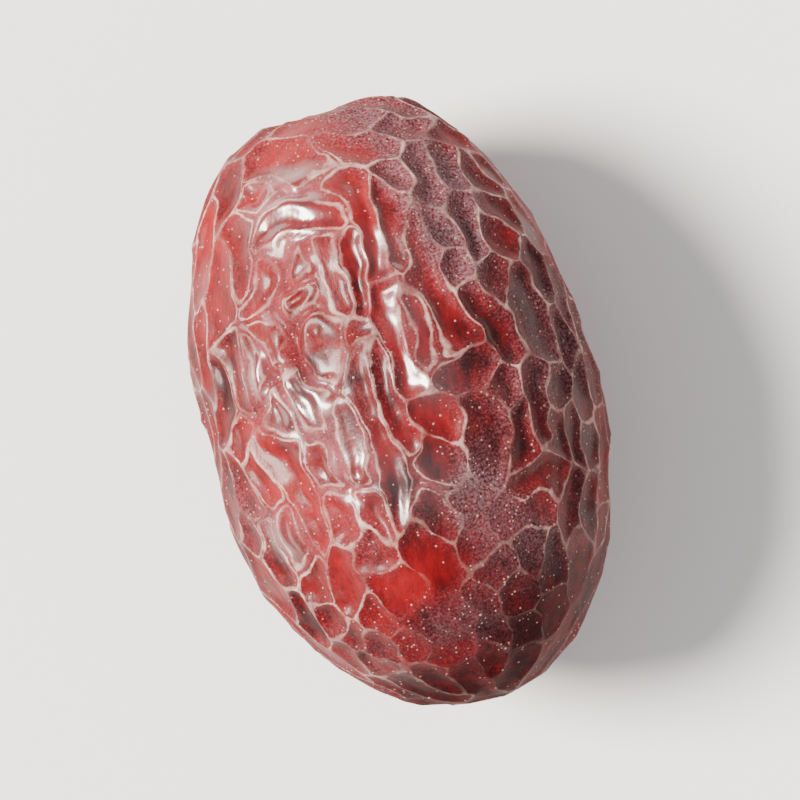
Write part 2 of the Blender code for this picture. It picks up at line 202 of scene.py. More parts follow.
def outward(points):
    """Unit normals of the plain profile: the gradient of its formula."""
    across = np.hypot(points[:, 0], points[:, 2])
    turned = across ** (BLUNTNESS - 2) / (WIDTH / 2) ** BLUNTNESS
    normal = np.empty_like(points)
    normal[:, 0] = points[:, 0] * turned
    normal[:, 2] = points[:, 2] * turned
    steepness = np.abs(points[:, 1]) ** (BLUNTNESS - 1) / (LENGTH / 2) ** BLUNTNESS
    normal[:, 1] = np.sign(points[:, 1]) * steepness
    return normal / np.linalg.norm(normal, axis=1)[:, None]


def places(along, around):
    """Points of the plain profile at these (along, around)."""
    along, around = np.asarray(along, float), np.radians(around)
    radius = WIDTH / 2 * (1 - np.abs(along / (LENGTH / 2)) ** BLUNTNESS) ** (1 / BLUNTNESS)
    return np.stack([radius * np.sin(around), along, radius * np.cos(around)], axis=-1)


print("top of the plain body:", places(0, 0).round(2), "mm")

# %% [markdown]
# Everything uneven in nature here comes from smooth noise: a sum of plane waves in random
# directions, seeded so that the fruit is the same each time.

# %% Noise in space
def waves(points, length, seed, count=16):
    """Smooth noise of about -1 to 1: a sum of plane waves of random directions and phases."""
    rng = np.random.default_rng(seed)
    direction = rng.normal(size=(count, 3))
    direction /= np.linalg.norm(direction, axis=1)[:, None]
    number = 2 * math.pi / length * rng.uniform(*WAVE_NUMBERS, count)
    phase = rng.uniform(0, 2 * math.pi, count)
    return np.sin(points @ (direction * number[:, None]).T + phase).sum(axis=1) / math.sqrt(count)


print("noise along the top:", waves(places([-10, 0, 10], 0), SWELL_LENGTH, seed=SWELL_SEED).round(2))

# %% [markdown]
# The mesh starts as a cube whose six square grids are blown up into a ball. It has no pole, so the
# cells stay even from end to end.

# %% The grid
FACE_CELLS = 126


def cube_grid():
    """Unit directions and four-sided faces of a cube's square grids, blown up into a ball."""
    steps = np.tan(np.linspace(-math.pi / 4, math.pi / 4, FACE_CELLS + 1))
    a, b = (grid.ravel() for grid in np.meshgrid(steps, steps, indexing="ij"))
    one = np.ones_like(a)
    sides = [(a, b, one), (b, a, -one), (one, a, b), (-one, b, a), (b, one, a), (a, -one, b)]
    points = np.concatenate([np.stack(side, axis=1) for side in sides])
    row = FACE_CELLS + 1
    corner = (np.arange(FACE_CELLS)[:, None] * row + np.arange(FACE_CELLS)).ravel()
    cells = np.stack([corner, corner + row, corner + row + 1, corner + 1], axis=1)
    cells = np.concatenate([cells + k * row * row for k in range(6)])
    _, first, index = np.unique(np.round(points, 6), axis=0, return_index=True, return_inverse=True)
    points = points[first]
    return points / np.linalg.norm(points, axis=1)[:, None], index.reshape(-1)[cells]


directions, faces = cube_grid()
print(len(directions), "points", len(faces), "cells")

# %% [markdown]
# ## Growing the pockets
# A pocket's floor is kept as a row of points. A new one is tried at a random place, and stays if it
# comes no nearer than a clear gap to any that is there.

# %% Floors as points
def seen_floors():
    """Points down the floor of each pocket above."""
    floors = []
    for marks in POCKETS_ABOVE:
        pieces = []
        for (along_a, around_a), (along_b, around_b) in zip(marks, marks[1:]):
            ends = places([along_a, along_b], [around_a, around_b])
            count = 1 + math.ceil(np.linalg.norm(ends[1] - ends[0]) / SAMPLE_STEP)
            along = np.linspace(along_a, along_b, count)
            pieces.append(places(along, np.linspace(around_a, around_b, count)))
        floors.append(np.concatenate(pieces))
    return floors


def grown_floors(floors):
    """Pockets for the rest of the skin: short lines along the fruit, tried at random places and
    kept where they come no nearer than the gap to any that is there, or to a swell."""
    rng = np.random.default_rng(GROWN_SEED)
    kept = list(floors)
    taken = np.concatenate(kept + [places(swell[0], swell[1])[None] for swell in SWOLLEN_PLACES])
    for tries, shortest, longest, gap in GROWN_STAGES:
        for _ in range(tries):
            start = rng.normal(size=3)
            start *= np.array([WIDTH, LENGTH, WIDTH]) / 2 / np.linalg.norm(start)
            length = rng.uniform(shortest, longest)
            lean = math.radians(rng.uniform(-GROWN_TILT, GROWN_TILT))
            middle = onto_skin(start[None])
            normal = outward(middle)[0]
            side = np.cross(normal, [0.0, 1.0, 0.0])
            side /= np.linalg.norm(side)
            run = np.cross(side, normal) * math.cos(lean) + side * math.sin(lean)
            count = 1 + math.ceil(length / SAMPLE_STEP)
            floor = onto_skin(middle + np.linspace(-length / 2, length / 2, count)[:, None] * run)
            apart = np.linalg.norm(floor[:, None] - taken[None], axis=2).min()
            if apart > gap:
                kept.append(floor)
                taken = np.concatenate([taken, floor])
    return kept


floors = grown_floors(seen_floors())
print(len(floors), "pockets in all")

# %% [markdown]
# ## Folds between pockets
# For each point of the skin, every pocket gets a share that falls off with its distance. Where one
# pocket rules, the skin is its floor. Where two or three have equal shares, there is a crest.

# %% Distances and crests
def distances(points, floors):
    """Distance from each point to each pocket's floor, as an array of points by pockets."""
    apart = np.empty((len(points), len(floors)))
    for k, floor in enumerate(floors):
        squared = np.full(len(points), np.inf)
        for spot in floor:
            np.minimum(squared, ((points - spot) ** 2).sum(axis=1), out=squared)
        apart[:, k] = np.sqrt(squared)
    return apart


def crest(apart, width):
    """1 on the line where two pockets are equally near, falling to 0 about a width away.
    Each pocket's share is exp(-distance / width), and the crest is where no share rules."""
    share = np.exp(-(apart - apart.min(axis=1)[:, None]) / width)
    return 2 * (1 - (share**2).sum(axis=1) / share.sum(axis=1) ** 2)


lead = np.array([0.0, 0.2, 0.4, 0.8])
print("crest where one pocket leads by", lead, "mm:",
      crest(np.stack([0 * lead, lead], axis=1), FOLD_SHARP).round(2))

# %% [markdown]
# Not every part of the skin folds alike. At the two ends, under the fruit and on a few smooth
# shoulders the relief fades, and some folds are rounder. Such places are round marks that fade
# outwards as a bell curve does, so they leave no edge.

# %% Places that fade outwards
def near_places(points, marks):
    """Sum over the marks of amount * exp(-(distance / radius) ^ 2)."""
    total = np.zeros(len(points))
    for along, around, radius, amount in marks:
        away = ((points - places(along, around)) ** 2).sum(axis=1)
        total += amount * np.exp(-away / radius**2)
    return total


def calm(points):
    """The share of the relief that the smoother places leave."""
    left = np.ones(len(points))
    for along, around, radius, share in CALM_PLACES:
        middle = places(along, around)
        near = np.exp(-(((points - middle) ** 2).sum(axis=1) / radius**2))
        left *= 1 - (1 - share) * near
    left *= 1 - np.exp(-((np.hypot(points[:, 0], points[:, 2]) / END_CALM_RADIUS) ** 4))
    under = np.hypot(points[:, 0], points[:, 1] * WIDTH / LENGTH) / FLAT_CALM_RADIUS
    return np.where(points[:, 2] < 0, left * (1 - np.exp(-(under**4))), left)


print("relief left on top and underneath:", calm(places([0, 0], [0, 180])).round(2))

# %% [markdown]
# ## The two ends
# The stalk leaves a funnel, with a hole in it and the stub of the stalk in the hole. The flower's
# style leaves a shallow saucer with a raised ring and a point. Both are round, so their height
# depends only on the distance from the axis, and a little noise in that distance makes them uneven.

# %% Height of the scars
def scars(points):
    """Height of the stem's funnel and hole at +Y, and of the style's ringed saucer at -Y."""
    waver = SCAR_WAVER * waves(points, SCAR_WAVER_LENGTH, seed=SCAR_SEED)
    off_axis = np.hypot(points[:, 0], points[:, 2]) * (1 + waver)

    def disc(radius):
        return 0.5 - 0.5 * np.tanh((off_axis - radius) / SCAR_EDGE)

    stem = -FUNNEL_DEPTH * np.exp(-((off_axis / FUNNEL_RADIUS) ** 2)) - HOLE_DEPTH * disc(HOLE_RADIUS)
    stem += STUB_HEIGHT * disc(STUB_RADIUS)
    style = -SAUCER_DEPTH * disc(SAUCER_RADIUS) + TIP_HEIGHT * disc(TIP_RADIUS)
    style -= DIMPLE_DEPTH * np.exp(-((off_axis / DIMPLE_RADIUS) ** 2))
    style += RIM_HEIGHT * np.exp(-(((off_axis - SAUCER_RADIUS) / RIM_WIDTH) ** 2))
    return np.where(points[:, 1] > 0, stem, style)


print("scars on the axis:", scars(places([LENGTH / 2, -LENGTH / 2], 0)).round(2), "mm")

# %% [markdown]
# Pockets with straight floors would have folds that run too straight. So each point of the skin
# looks for its pockets from a place a little to one side, which makes every fold wander.

# %% Wander of the folds
def strayed(points):
    """The points moved a little to and fro, which makes the folds wander."""
    moved = points.copy()
    for k, (far, length) in enumerate(MEANDERS):
        for axis in range(3):
            moved[:, axis] += far * waves(points, length, seed=MEANDER_SEED + axis + 10 * k)
    return moved


top_line = places(np.linspace(-20, 20, 81), 0)
strayed_by = np.linalg.norm(strayed(top_line) - top_line, axis=1)
print("wander along the top: up to", strayed_by.max().round(2), "mm")

# %% [markdown]
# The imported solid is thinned, so its grid can be plain. Here the crests are only a few tenths of a
# millimetre wide, so the grid points next to one are drawn onto it, and the fold stays a clean line.

# %% Drawing grid points onto the crests
DRAW_REACH = 0.32  # from how far a crest draws points to itself, in millimetres
SLOPE_STEP = 0.05  # how far a point is moved to measure a slope, in millimetres


def edge_gap(points, floors, chosen):
    """How much further the second of two chosen pockets is than the first, for each point."""
    spots = strayed(points)
    found = np.empty(chosen.shape)
    for k, floor in enumerate(floors):
        for column in range(2):
            rows = np.flatnonzero(chosen[:, column] == k)
            if len(rows):
                apart = np.linalg.norm(spots[rows, None] - floor[None], axis=2)
                found[rows, column] = apart.min(axis=1)
    return found[:, 1] - found[:, 0]


def drawn_to_folds(points, floors):
    """Finds each point's nearest crest by one Newton step on edge_gap, and slides the point along
    it: a point at x of the reach ends at x cubed of it."""
    chosen = np.argsort(distances(strayed(points), floors), axis=1)[:, :2]
    gap = edge_gap(points, floors, chosen)
    slope = np.empty_like(points)
    for axis in range(3):
        moved = points.copy()
        moved[:, axis] += SLOPE_STEP
        slope[:, axis] = (edge_gap(moved, floors, chosen) - gap) / SLOPE_STEP
    slide = -gap[:, None] * slope / (slope**2).sum(axis=1)[:, None]
    way = np.linalg.norm(slide, axis=1) / DRAW_REACH
    return onto_skin(points + slide * np.maximum(0, 1 - way**2)[:, None])


plain_skin = onto_skin(directions * np.array([WIDTH, LENGTH, WIDTH]) / 2)
skin = drawn_to_folds(plain_skin, floors)
print("points drawn by up to", np.linalg.norm(skin - plain_skin, axis=1).max().round(2), "mm")

# %% [markdown]
# ## The relief
# A crest has a sharp top on a softer foot, or is broad and round where the flesh below stays full.
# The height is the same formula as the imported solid's, so the fine skin keeps its form. At the end
# the fruit is lowered until its small flat spot is at z = 0.

# %% Height of the skin
apart = distances(strayed(skin), floors)
sharp, soft, broad = (crest(apart, width) for width in (FOLD_SHARP, FOLD_SOFT, FOLD_BROAD))
broad = broad**2 * (3 - 2 * broad)  # flatter on top and steeper at the sides
rounded = np.minimum(near_places(skin, ROUNDED_PLACES), 1)
fold = FOLD_SHARP_SHARE * sharp + (1 - FOLD_SHARP_SHARE) * soft
fold = rounded * broad + (1 - rounded) * fold
relief_left = calm(skin)
depth = POCKET_DEPTH * (1 + DEPTH_SPREAD * waves(skin, DEPTH_LENGTH, seed=DEPTH_SEED)) * relief_left
height = depth * (fold - 1) + near_places(skin, SWOLLEN_PLACES) + scars(skin)
height += SWELL_HEIGHT * (waves(skin, SWELL_LENGTH, seed=SWELL_SEED) - 0.5)
points = skin + outward(skin) * height[:, None]
rest = FLAT_DEPTH - WIDTH / 2
points[:, 2] = np.maximum(points[:, 2], rest) - rest
print("relief from", height.min().round(2), "to", height.max().round(2), "mm")

# %% [markdown]
# ## What the colours need to know
# The photograph shows some pockets redder than others, grey bloom on the shoulders and polish on the
# swells. Towards the style end and underneath, the colour is darkened as painted shade. These are
# round marks that fade outwards, placed like the pockets, and on the hidden sides in the same style.

# %% Where the skin is redder, greyer and glossier, and where shade is painted darker
# Each is (along, around, radius in mm, amount), and a negative amount takes away.
REDDER_PLACES_AND_PAINTED_SHADE = (
    (-13.5, -5, 2.4, 1.4), (13.8, 6, 3.4, 0.7), (-6.0, -41, 3.5, 0.8), (-3.0, -8, 3.0, 0.6),
    (22.0, -20, 3.5, 0.7), (20.0, 12, 3.0, 0.6), (3.0, -46, 3.0, 0.5), (7.0, 20, 3.0, 0.3),
    (16.0, -66, 4.0, 0.7), (-14.0, -34, 3.0, 0.25), (0.0, 48, 13.0, -0.6), (-3.0, 9, 2.5, 0.3),
    # The less red mark at (-21, 20) is painted shade at the style end, not a redness of the skin.
    (-21.0, 20, 9.0, -0.7), (2.0, -112, 15.0, -0.7), (-18.0, -120, 9.0, -0.4),
    (17.0, -125, 9.0, -0.5),
)
GREYER_PLACES = (
    (16.0, 31, 3.6, 1.0), (12.5, 40, 4.0, 0.9), (9.0, 30, 3.0, 0.8), (-18.0, 10, 8.0, 0.1),
    (-9.5, 17, 3.2, 0.7), (-6.0, 14, 3.0, 0.6), (22.5, 30, 5.0, 0.8), (17.0, 52, 5.0, 0.35),
    (21.0, -5, 7.0, 0.55), (-15.0, 50, 8.0, 0.2), (2.0, 68, 14.0, 0.6), (-20.0, 180, 9.0, 0.5),
    (21.0, 180, 7.0, 0.6), (-13.5, -5, 2.3, -0.9), (-17.5, 2, 4.0, 0.7), (-11.0, -22, 2.5, 0.4),
    (-12.5, 24, 4.0, 0.45), (14.0, 5, 3.0, -0.4), (-4.0, -8, 3.0, -0.3), (6.0, 18, 3.0, -0.2),
    (5.0, 160, 5.0, 0.5), (-6.0, -150, 6.0, 0.4), (-21.0, -60, 6.0, 0.2), (18.0, 100, 6.0, 0.4),
)
POLISHED_PLACES = (
    (16.9, -19, 3.6, 1.2), (5.8, 8, 2.0, 1.0), (0.6, 10, 2.2, 1.2), (-6.8, 0, 2.4, 1.2),
    (-4.8, -17, 2.6, 1.2), (1.0, -29, 2.6, 1.2), (-7.8, -50, 2.2, 1.0), (4.8, -43, 2.0, 1.0),
    (11.0, 9, 2.4, 0.8),
)
# Painted shade: the colour is made darker towards the style end and underneath, where shade falls.
PAINTED_SHADE_PLACES = (
    (-20.0, 28, 10.0, 0.9), (-24.0, -60, 7.0, 0.6), (-20.0, -150, 8.0, 0.5), (4.0, 150, 9.0, 0.4),
)
print(len(REDDER_PLACES_AND_PAINTED_SHADE), "redder,", len(GREYER_PLACES), "greyer,", len(POLISHED_PLACES),
      "polished and", len(PAINTED_SHADE_PLACES), "darker places")

# %% [markdown]
# A material can't see pockets, so each point carries what it needs: half the lead of its nearest
# pocket over the next, which is about its distance from the crest (gap), the relief that is left
# there (line), how broad the fold is (rounded), its gloss, its painted shade, redness and bloom, and
# where it is on the scars. Each pocket has a redness of its own from a seeded draw.

# %% Numbers for the skin's own finish
TINT_SEED, TINT_BLEND = 21, 0.6  # millimetres over which one pocket's red passes into the next
BLOOM_SEED, BLOOM_UNEVEN, BLOOM_LENGTH = 31, 0.25, 11.0
ordered = np.sort(apart, axis=1)
gap = (ordered[:, 1] - ordered[:, 0]) / 2
shares = np.exp(-(apart - ordered[:, :1]) / TINT_BLEND)
redness = np.random.default_rng(TINT_SEED).uniform(0, 1, len(floors))
# The tint is each pocket's own redness, plus the painted shade at the style end from the table.
tint_with_painted_shade = shares @ redness / shares.sum(axis=1) + near_places(skin, REDDER_PLACES_AND_PAINTED_SHADE)
uneven_bloom = BLOOM_UNEVEN * waves(skin, BLOOM_LENGTH, seed=BLOOM_SEED)
bloom = near_places(skin, GREYER_PLACES) + uneven_bloom
shine = np.minimum(near_places(skin, POLISHED_PLACES), 1)
# How much painted shade darkens the colour at each point.
painted_shade = np.minimum(near_places(skin, PAINTED_SHADE_PLACES), 1)
numbers = {
    "gap": gap, "line": relief_left, "rounded": rounded, "shine": shine, "painted_shade": painted_shade,
    "tint_with_painted_shade": tint_with_painted_shade, "bloom": bloom,
}
print("widest gap", gap.max().round(2), "mm, tint", tint_with_painted_shade.min().round(2), "to", tint_with_painted_shade.max().round(2))

# %% [markdown]
# The scars' colours follow their shape, so they use the same distance from the axis, made uneven in
# the same way. Bloom gathers at the ends, most of all round the stalk, where nothing rubs it.

# %% Numbers for the two ends
HOLE_MARGIN, HOLE_EDGE = 0.15, 0.35
RING_WIDTH, TIP_EDGE = 0.35, 0.2
END_BLOOM_RADIUS, STEM_BLOOM, STYLE_BLOOM = 5.5, 0.8, 0.1
FAR_OFF = 99.0  # stands for the distance on the other half, which has no stem colours
waver = SCAR_WAVER * waves(skin, SCAR_WAVER_LENGTH, seed=SCAR_SEED)
off_axis = np.hypot(skin[:, 0], skin[:, 2]) * (1 + waver)
stem_side, style_side = skin[:, 1] > 0, skin[:, 1] < 0
hole = 0.5 - 0.5 * np.tanh((off_axis - HOLE_RADIUS - HOLE_MARGIN) / HOLE_EDGE)
ring = np.exp(-(((off_axis - SAUCER_RADIUS) / RING_WIDTH) ** 2))
tip = 0.5 - 0.5 * np.tanh((off_axis - TIP_RADIUS) / TIP_EDGE)
near_end = np.exp(-((off_axis / END_BLOOM_RADIUS) ** 4))
numbers.update({
    "hollow": stem_side * hole, "ring": style_side * ring, "tip": style_side * tip,
    "end_bloom": near_end * np.where(stem_side, STEM_BLOOM, STYLE_BLOOM),
    "off_axis": np.where(stem_side, off_axis, FAR_OFF),
})
print(len(numbers), "numbers on each point")

# %% [markdown]
# ## The piece
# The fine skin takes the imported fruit's place. It is one closed surface with smooth shading.

# %% The fruit's mesh
mesh = bpy.data.meshes.new("fruit_skin")
mesh.from_pydata((points * MM).tolist(), [], faces.tolist())
mesh.update()
mesh.shade_smooth()
for name, values in numbers.items():
    layer = mesh.attributes.new(name, "FLOAT", "POINT")
    layer.data.foreach_set("value", np.asarray(values, np.float32))
fruit = bpy.data.objects.new("fruit_skin", mesh)
bpy.context.scene.collection.objects.link(fruit)
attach(fruit, "root")
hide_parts("jujube")
print("fruit size in mm:", np.ptp(points, axis=0).round(2))

# %% [markdown]
# ## Tools for the finish
# A material is a graph of small nodes. Colours are given as they would be picked on a screen and
# turned into linear light here. One helper adds a node, sets it up, connects it and gives one of
# its outputs, so that each layer of the finish is a few lines. A Map Range node is given a value,
# the range it comes from and the range it goes to, in that order. A Mix node lays its colour 7 over
# its colour 6 by the share 0.

# %% Colour and node helpers
material = bpy.data.materials.new("jujube_skin")
material.use_nodes = True
tree = material.node_tree
tree.nodes.clear()
COLOURS = {"out": 2, "data_type": "RGBA"}  # makes a Mix node blend colours


def linear(code):
    """Linear colour from an sRGB code: below 0.04045 a straight line, above it a power of 2.4."""
    parts = np.array([int(code[k:k + 2], 16) for k in (1, 3, 5)]) / 255
    curve = np.where(parts <= 0.04045, parts / 12.92, ((parts + 0.055) / 1.055) ** 2.4)
    return (*curve.tolist(), 1.0)


def add(kind, inputs=(), out=0, **settings):
    """Adds a node to the skin's material and gives its output. Settings are the node's own, and
    inputs are values or other nodes' outputs, in their order or by name."""
    node = tree.nodes.new("ShaderNode" + kind)
    for name, value in settings.items():
        setattr(node, name, value)
    for key, value in inputs.items() if isinstance(inputs, dict) else enumerate(inputs):
        if isinstance(value, bpy.types.NodeSocket):
            tree.links.new(value, node.inputs[key])
        else:
            node.inputs[key].default_value = value
    return node.outputs[out]


place = add("TexCoord", out="Object")
on_skin = {name: add("Attribute", out="Fac", attribute_name=name) for name in numbers}
print("the finish reads:", ", ".join(on_skin))

# %% [markdown]
# ## The bare skin
# Dried jujube skin is a thin, tough, leathery film coloured by red anthocyanins over brown flesh.
# Where it is clean it is a deep, slightly orange red. It differs from pocket to pocket, in blotches
# a few millimetres wide, and in flecks of under a millimetre that run along the fruit. A Mapping
# node squeezes the noise along Y, which makes its flecks longer that way.

# %% Red of the pockets
DEEP_RED, BRIGHT_RED = "#2a0306", "#7f0a10"
longwise = add("Mapping", {"Vector": place, "Scale": (1.0, 0.4, 1.0)})
mottle = add("TexNoise", {
    "Vector": place, "Scale": 1 / (3.0 * MM), "Detail": 3.0, "Roughness": 0.6})
flecks = add("TexNoise", {
    "Vector": longwise, "Scale": 1 / (0.7 * MM), "Detail": 3.0, "Roughness": 0.6})
red_share = add("Math", [on_skin["tint_with_painted_shade"], 0.55, mottle], operation="MULTIPLY_ADD")
uneven = add("Math", [flecks, 1.3, -0.65], operation="MULTIPLY_ADD")
red_share = add("Math", [red_share, uneven], operation="ADD")
red_share = add("MapRange", [red_share, 0.3, 1.25])
red = add("Mix", {0: red_share, 6: linear(DEEP_RED), 7: linear(BRIGHT_RED)}, **COLOURS)
print("pockets from", DEEP_RED, "to", BRIGHT_RED)

# %% [markdown]
# ## The bloom
# Wax and fine dust dry to a grey-mauve film. It lies on the shoulders, at the stem end and along
# the foot of each fold, and is rubbed off the rest. So its thickness is a sum: the bloom that the
# points carry, the foot of the fold, patches a millimetre or two wide, and a fine grain.

# %% Where the bloom lies
sharp_share = add("Math", [1.0, on_skin["rounded"]], operation="SUBTRACT")
narrow_foot = add("MapRange", [on_skin["gap"], 0.15, 1.3, 0.5, 0.0])
broad_foot = add("MapRange", [on_skin["gap"], 0.42, 0.8, 0.9, -0.35])
foot = add("Math", [narrow_foot, sharp_share], operation="MULTIPLY")
foot = add("Math", [broad_foot, on_skin["rounded"], foot], operation="MULTIPLY_ADD")
film = add("Math", [on_skin["bloom"], foot], operation="ADD")
film = add("Math", [film, on_skin["end_bloom"]], operation="ADD")
patches = add("TexNoise", {
    "Vector": place, "Scale": 1 / (1.6 * MM), "Detail": 4.0, "Roughness": 0.65})
patches = add("Math", [patches, 1.4, -0.8], operation="MULTIPLY_ADD")
film = add("Math", [film, patches], operation="ADD")
fine = add("TexNoise", {
    "Vector": place, "Scale": 1 / (0.2 * MM), "Detail": 2.0, "Roughness": 0.6})
fine = add("MapRange", [fine, 0.33, 0.68])
film = add("Math", [film, add("Math", [fine, 0.5, -0.25], operation="MULTIPLY_ADD")], operation="ADD")
film = add("MapRange", [film, 0.12, 1.25, 0.0, 0.72])
# Less bloom where shade is painted, so those parts stay darker.
bloom_left_in_painted_shade = add("Math", [on_skin["painted_shade"], -0.55, 1.0], operation="MULTIPLY_ADD")
film = add("Math", [film, bloom_left_in_painted_shade], operation="MULTIPLY")
print("bloom: patches of 1.6 mm, grain of 0.2 mm")

# %% [markdown]
# Seen close, the film is pale grains on dark red, pinker where it is thin and greyer where it is
# thick. On the broad folds it is rubbed into an even coat, so the grain is faded out there.

# %% Colour of the bloom
THIN_BLOOM, THICK_BLOOM, UNDER_BLOOM = "#904449", "#866a70", "#480f14"
smoothed = add("MapRange", [on_skin["rounded"], 0.2, 0.9, 0.0, 0.75])
grainy = add("Math", [1.0, smoothed], operation="SUBTRACT")
speckle = add("Math", [fine, grainy, smoothed], operation="MULTIPLY_ADD")
greyness = add("MapRange", [on_skin["bloom"], 0.3, 1.0])
pale = add("Mix", {0: greyness, 6: linear(THIN_BLOOM), 7: linear(THICK_BLOOM)}, **COLOURS)
mauve = add("Mix", {0: speckle, 6: linear(UNDER_BLOOM), 7: pale}, **COLOURS)
colour = add("Mix", {0: film, 6: red, 7: mauve}, **COLOURS)
print("bloom from", THIN_BLOOM, "to", THICK_BLOOM, "on", UNDER_BLOOM)

# %% [markdown]
# Towards the style end and on parts of the underside shade is painted darker, under the bloom too.

# %% Painted shade
PAINTED_SHADE_COLOUR = "#1f0306"
painted_shade_share = add("Math", [on_skin["painted_shade"], 0.55], operation="MULTIPLY")
colour = add("Mix", {0: painted_shade_share, 6: colour, 7: linear(PAINTED_SHADE_COLOUR)}, **COLOURS)
print("dried dark:", PAINTED_SHADE_COLOUR)

# %% [markdown]
# ## The folds
# On a crest the skin is doubled and dry, and rubbed pale. The points carry their distance to the
# crest, so a line is what lies nearer than half its width. That half width wanders from 0.05 to
# 0.19 mm. A broad fold has a line down each edge instead of one on its top, 0.62 mm to each side.

# %% Line on each fold
line_place = add("Math", [on_skin["rounded"], 0.62], operation="MULTIPLY")
from_line = add("Math", [on_skin["gap"], line_place], operation="SUBTRACT")
from_line = add("Math", [from_line], operation="ABSOLUTE")
wobble = add("TexNoise", {"Vector": place, "Scale": 1 / (0.5 * MM), "Detail": 3.0})
wobble = add("Math", [wobble, 0.2, -0.1], operation="MULTIPLY_ADD")
from_line = add("Math", [from_line, wobble], operation="ADD")
from_line = add("Math", [from_line, 0.0], operation="MAXIMUM")
wide = add("TexNoise", {"Vector": place, "Scale": 1 / (1.6 * MM)})
wide = add("MapRange", [wide, 0.35, 0.65, 0.05, 0.19])
line = add("Math", [from_line, wide], operation="DIVIDE")
line = add("Math", [1.0, line], operation="SUBTRACT", use_clamp=True)
line = add("Math", [line, 0.7], operation="POWER")
print("line from 0.1 to 0.38 mm wide")

# %% [markdown]
# A line that is equally strong all along looks drawn. It is weaker where the relief is low and
# where shade is painted, and it breaks and fades over lengths of four and of one millimetre.

# %% Strength and colour of the lines
RUBBED_CREST = "#d3afa3"
strength = add("MapRange", [on_skin["line"], 0.3, 0.65])
long_breaks = add("TexNoise", {"Vector": place, "Scale": 1 / (4.0 * MM)})
long_breaks = add("MapRange", [long_breaks, 0.35, 0.65, 0.08, 0.85])
short_breaks = add("TexNoise", {"Vector": place, "Scale": 1 / (0.9 * MM), "Detail": 3.0})
short_breaks = add("MapRange", [short_breaks, 0.35, 0.6, 0.35, 1.0])
in_painted_shade = add("Math", [on_skin["painted_shade"], -0.6, 1.0], operation="MULTIPLY_ADD")
for weakened in (long_breaks, short_breaks, in_painted_shade):
    strength = add("Math", [strength, weakened], operation="MULTIPLY")
line = add("Math", [line, strength], operation="MULTIPLY")
colour = add("Mix", {0: line, 6: colour, 7: linear(RUBBED_CREST)}, **COLOURS)
print("rubbed crests:", RUBBED_CREST)

# %% [markdown]
# Specks of dry wax and dust, one or two tenths of a millimetre wide, catch the light all over the
# skin, thickest where the bloom lies. A Voronoi node cuts space into uneven cells. A dot is drawn
# round the middle of some of them, picked by the cell's random colour.

# %% Pale specks
SPECK = "#bf998f"
DOT_CORE = 0.6  # share of a dot's radius that is evenly pale


def dots(cell_mm, radius_mm, density):
    """A round dot, soft in its outer part, in this share of the cells of an uneven net."""
    from_middle = add("TexVoronoi", {"Vector": place, "Scale": 1 / (cell_mm * MM)}, out="Distance")
    cell_colour = from_middle.node.outputs["Color"]
    pick = add("SeparateColor", [cell_colour])
    chosen = add("Math", [pick, density], operation="LESS_THAN")
    size = radius_mm / cell_mm
    inside = add("MapRange", [from_middle, DOT_CORE * size, size, 1.0, 0.0])
    return add("Math", [chosen, inside], operation="MULTIPLY")


fine_specks = dots(0.32, 0.09, add("Math", [film, 0.45, 0.04], operation="MULTIPLY_ADD"))
large_specks = dots(0.62, 0.11, 0.26)
specks = add("Math", [fine_specks, large_specks], operation="MAXIMUM")
specks = add("Math", [specks, 0.65], operation="MULTIPLY")
colour = add("Mix", {0: specks, 6: colour, 7: linear(SPECK)}, **COLOURS)
print("specks:", SPECK)

# %% [markdown]
# ## The scars
# At the stem end a dark hole with a corky stub is left where the stalk broke off. Tan cork, streaked
# light and dark, lies round it in patches up to five millimetres from the axis.

# %% Colours of the stem end
HOLE, STUB, DARK_CORK, LIGHT_CORK = "#220d09", "#5a3e2a", "#4e3626", "#a28e77"
colour = add("Mix", {0: on_skin["hollow"], 6: colour, 7: linear(HOLE)}, **COLOURS)
stub = add("MapRange", [on_skin["off_axis"], 0.5, 1.0, 0.8, 0.0])
colour = add("Mix", {0: stub, 6: colour, 7: linear(STUB)}, **COLOURS)
around_hole = add("MapRange", [on_skin["off_axis"], 2.2, 5.0, 1.0, 0.0])
cork = add("TexNoise", {"Vector": place, "Scale": 1 / (2.5 * MM), "Detail": 3.0})
cork = add("Math", [cork, around_hole], operation="MULTIPLY")
cork = add("MapRange", [cork, 0.42, 0.5])
outside_hole = add("Math", [1.0, on_skin["hollow"]], operation="SUBTRACT")
cork = add("Math", [cork, outside_hole], operation="MULTIPLY")
streaks = add("TexNoise", {
    "Vector": place, "Scale": 1 / (0.7 * MM), "Detail": 4.0, "Roughness": 0.7})
streaks = add("MapRange", [streaks, 0.35, 0.65])
tan = add("Mix", {0: streaks, 6: linear(DARK_CORK), 7: linear(LIGHT_CORK)}, **COLOURS)
colour = add("Mix", {0: cork, 6: colour, 7: tan}, **COLOURS)
print("stem end:", HOLE, STUB, "cork from", DARK_CORK, "to", LIGHT_CORK)

# %% [markdown]
# At the other end the style left a ring, worn pale in places, with a brown point in its middle.

# %% Colours of the style end
WORN_RING, STYLE_POINT = "#a2857b", "#3c1c10"
worn = add("TexNoise", {
    "Vector": place, "Scale": 1 / (1.0 * MM), "Detail": 4.0, "Roughness": 0.65})
worn = add("MapRange", [worn, 0.4, 0.62, 0.0, 0.65])
ring_share = add("Math", [on_skin["ring"], worn], operation="MULTIPLY")
colour = add("Mix", {0: ring_share, 6: colour, 7: linear(WORN_RING)}, **COLOURS)
colour = add("Mix", {0: on_skin["tip"], 6: colour, 7: linear(STYLE_POINT)}, **COLOURS)
print("style end:", WORN_RING, STYLE_POINT)
